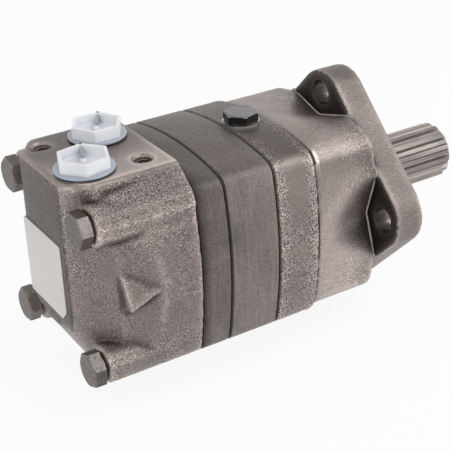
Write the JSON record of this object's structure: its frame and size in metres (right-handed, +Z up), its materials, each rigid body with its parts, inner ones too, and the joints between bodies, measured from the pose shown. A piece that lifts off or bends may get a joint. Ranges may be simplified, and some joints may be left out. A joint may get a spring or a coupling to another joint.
{
  "type": "orbital hydraulic motor",
  "caption": "Disc-valve orbital hydraulic motor with a lugged mounting flange, splined output shaft, stacked gear and valve sections, and a rear port cover.",
  "frame": {"origin": "centre of the flange's mounting face, on the shaft axis", "axes": "+X along the shaft, out of the flange; +Z up, through the port face; -Y is the side seen in the picture"},
  "size_m": [0.2429, 0.13, 0.13],
  "materials": {
    "cast_iron": "phosphated casting, satin",
    "cover_iron": "phosphated casting, satin",
    "ring_iron": "dark phosphated, matt",
    "turned_iron": "turned, dull",
    "bolt_steel": "phosphated, satin",
    "shaft_steel": "ground, bright",
    "bearing_steel": "ground, bright",
    "cage_steel": "pressed, dull",
    "drive_steel": "hardened, dull",
    "seat_brass": "turned",
    "rubber": "matt",
    "black_steel": "blackened, satin",
    "washer_metal": "bright",
    "white_plastic": "translucent, satin",
    "label": "satin, bare"
  },
  "bodies": {
    "housing": {"front_housing": "cast_iron", "front_cover": "turned_iron", "front_cover_screws": "black_steel", "front_cover_ring": "rubber", "dust_seal": "rubber", "shaft_seal": "rubber", "front_bearing_cup": "bearing_steel", "rear_bearing_cup": "bearing_steel", "wear_plate": "turned_iron", "gear_ring": "ring_iron", "channel_plate": "ring_iron", "check_seats": "seat_brass", "balance_plate": "turned_iron", "balance_ring": "rubber", "balance_springs": "drive_steel", "guide_pins": "drive_steel", "end_cover": "cover_iron", "section_rings": "rubber", "tie_bolts": "bolt_steel", "drain_plug": "black_steel", "drain_washer": "washer_metal", "label_plate": "label"},
    "shaft": {"output_shaft": "shaft_steel", "front_bearing_cone": "bearing_steel", "rear_bearing_cone": "bearing_steel", "lock_washer": "cage_steel", "bearing_nut": "cage_steel"},
    "front_roller_set": {"front_bearing_cage": "cage_steel", "front_bearing_rollers": "bearing_steel"},
    "rear_roller_set": {"rear_bearing_cage": "cage_steel", "rear_bearing_rollers": "bearing_steel"},
    "orbit_carrier": {"drive_spacer": "drive_steel"},
    "star": {"star_gear": "drive_steel"},
    "cardan": {"cardan_shaft": "drive_steel"},
    "valve_drive_shaft": {"valve_drive": "drive_steel"},
    "rotating_valve": {"disc_valve": "turned_iron"},
    "left_check_ball": {"check_ball_left": "bearing_steel"},
    "right_check_ball": {"check_ball_right": "bearing_steel"},
    "rear_plug": {"rear_transit_plug": "white_plastic", "rear_plug_ring": "rubber"},
    "front_plug": {"front_transit_plug": "white_plastic", "front_plug_ring": "rubber"},
    "gear_roller_1_body": {"gear_roller_1": "bearing_steel"},
    "gear_roller_2_body": {"gear_roller_2": "bearing_steel"},
    "gear_roller_3_body": {"gear_roller_3": "bearing_steel"},
    "gear_roller_4_body": {"gear_roller_4": "bearing_steel"},
    "gear_roller_5_body": {"gear_roller_5": "bearing_steel"},
    "gear_roller_6_body": {"gear_roller_6": "bearing_steel"},
    "gear_roller_7_body": {"gear_roller_7": "bearing_steel"}
  },
  "joints": [
    {"name": "shaft_spin", "type": "hinge", "parent": "housing", "child": "shaft", "pos_m": [0, 0, 0], "axis": [1, 0, 0], "continuous": true},
    {"name": "front_roller_set_spin", "type": "hinge", "parent": "housing", "child": "front_roller_set", "pos_m": [-0.034, 0, 0], "axis": [1, 0, 0], "continuous": true},
    {"name": "rear_roller_set_spin", "type": "hinge", "parent": "housing", "child": "rear_roller_set", "pos_m": [-0.045, 0, 0], "axis": [1, 0, 0], "continuous": true},
    {"name": "star_orbit", "type": "hinge", "parent": "housing", "child": "orbit_carrier", "pos_m": [-0.0865, 0, 0], "axis": [1, 0, 0], "continuous": true},
    {"name": "star_spin", "type": "hinge", "parent": "orbit_carrier", "child": "star", "pos_m": [-0.0865, 0, 0.002], "axis": [1, 0, 0], "continuous": true},
    {"name": "cardan_spin", "type": "hinge", "parent": "orbit_carrier", "child": "cardan", "pos_m": [-0.0454, 0, 0], "axis": [0.9988, 0, -0.0486], "continuous": true},
    {"name": "valve_drive_spin", "type": "hinge", "parent": "orbit_carrier", "child": "valve_drive_shaft", "pos_m": [-0.126, 0, 0], "axis": [0.9968, 0, 0.0797], "continuous": true},
    {"name": "disc_valve_spin", "type": "hinge", "parent": "housing", "child": "rotating_valve", "pos_m": [-0.126, 0, 0], "axis": [1, 0, 0], "continuous": true},
    {"name": "gear_roller_1_spin", "type": "hinge", "parent": "housing", "child": "gear_roller_1_body", "pos_m": [-0.0919, -0.01562, 0.03243], "axis": [1, 0, 0], "continuous": true},
    {"name": "gear_roller_2_spin", "type": "hinge", "parent": "housing", "child": "gear_roller_2_body", "pos_m": [-0.0919, -0.0351, 0.00801], "axis": [1, 0, 0], "continuous": true},
    {"name": "gear_roller_3_spin", "type": "hinge", "parent": "housing", "child": "gear_roller_3_body", "pos_m": [-0.0919, -0.02815, -0.02245], "axis": [1, 0, 0], "continuous": true},
    {"name": "gear_roller_4_spin", "type": "hinge", "parent": "housing", "child": "gear_roller_4_body", "pos_m": [-0.0919, 0, -0.036], "axis": [1, 0, 0], "continuous": true},
    {"name": "gear_roller_5_spin", "type": "hinge", "parent": "housing", "child": "gear_roller_5_body", "pos_m": [-0.0919, 0.02815, -0.02245], "axis": [1, 0, 0], "continuous": true},
    {"name": "gear_roller_6_spin", "type": "hinge", "parent": "housing", "child": "gear_roller_6_body", "pos_m": [-0.0919, 0.0351, 0.00801], "axis": [1, 0, 0], "continuous": true},
    {"name": "gear_roller_7_spin", "type": "hinge", "parent": "housing", "child": "gear_roller_7_body", "pos_m": [-0.0919, 0.01562, 0.03243], "axis": [1, 0, 0], "continuous": true},
    {"name": "check_ball_left_travel", "type": "slide", "parent": "housing", "child": "left_check_ball", "axis": [-1, 0, 0], "range_m": [0, 0.0011]},
    {"name": "check_ball_right_travel", "type": "slide", "parent": "housing", "child": "right_check_ball", "axis": [-1, 0, 0], "range_m": [0, 0.0011]},
    {"name": "rear_plug_lift", "type": "slide", "parent": "housing", "child": "rear_plug", "axis": [0, 0, 1], "range_m": [0, 0.03]},
    {"name": "front_plug_lift", "type": "slide", "parent": "housing", "child": "front_plug", "axis": [0, 0, 1], "range_m": [0, 0.03]}
  ],
  "couplings": [
    {"joint": "front_roller_set_spin", "follows": "shaft_spin", "ratio": 0.4525},
    {"joint": "rear_roller_set_spin", "follows": "shaft_spin", "ratio": 0.443},
    {"joint": "star_orbit", "follows": "shaft_spin", "ratio": -6},
    {"joint": "star_spin", "follows": "shaft_spin", "ratio": 7},
    {"joint": "cardan_spin", "follows": "shaft_spin", "ratio": 7},
    {"joint": "valve_drive_spin", "follows": "shaft_spin", "ratio": 7},
    {"joint": "disc_valve_spin", "follows": "shaft_spin", "ratio": 1}
  ]
}
